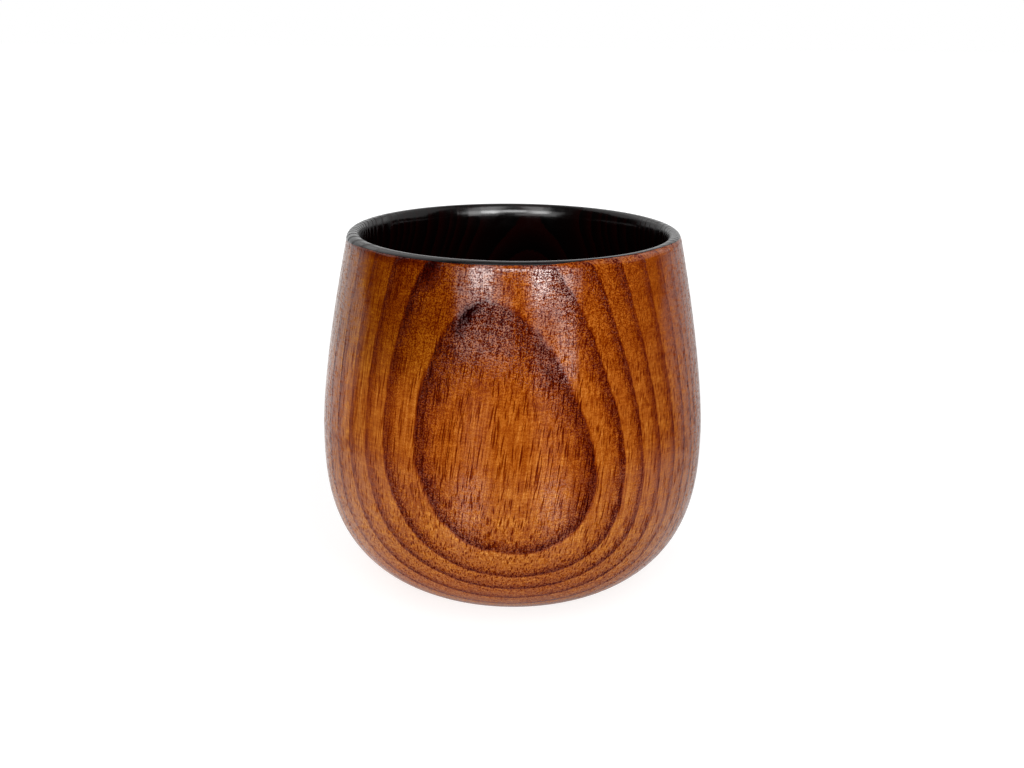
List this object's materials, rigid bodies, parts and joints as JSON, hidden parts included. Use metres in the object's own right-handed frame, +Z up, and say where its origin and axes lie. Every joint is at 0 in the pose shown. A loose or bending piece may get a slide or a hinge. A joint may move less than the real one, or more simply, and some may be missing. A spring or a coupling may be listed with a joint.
{
  "type": "wooden mate cup",
  "caption": "Round-bellied mate cup turned from one block of ring-porous wood, clear satin lacquer outside, black lacquer lining the bowl and wrapping over the rounded lip.",
  "frame": {"origin": "middle of the foot, on the plane that the cup stands on", "axes": "+Z up along the turning axis; -Y is the side that faces the viewer in the picture, +X is to the viewer's right"},
  "size_m": [0.08, 0.08, 0.0751],
  "materials": {
    "wood": "orange-brown ring-porous wood with dark growth rings, clear satin lacquer",
    "black_lacquer": "black satin-gloss lacquer, thin enough for the wood's rings to show as a faint relief"
  },
  "bodies": {
    "root": {"wooden_body": "wood", "black_lacquer_lining": "black_lacquer"}
  },
  "joints": []
}
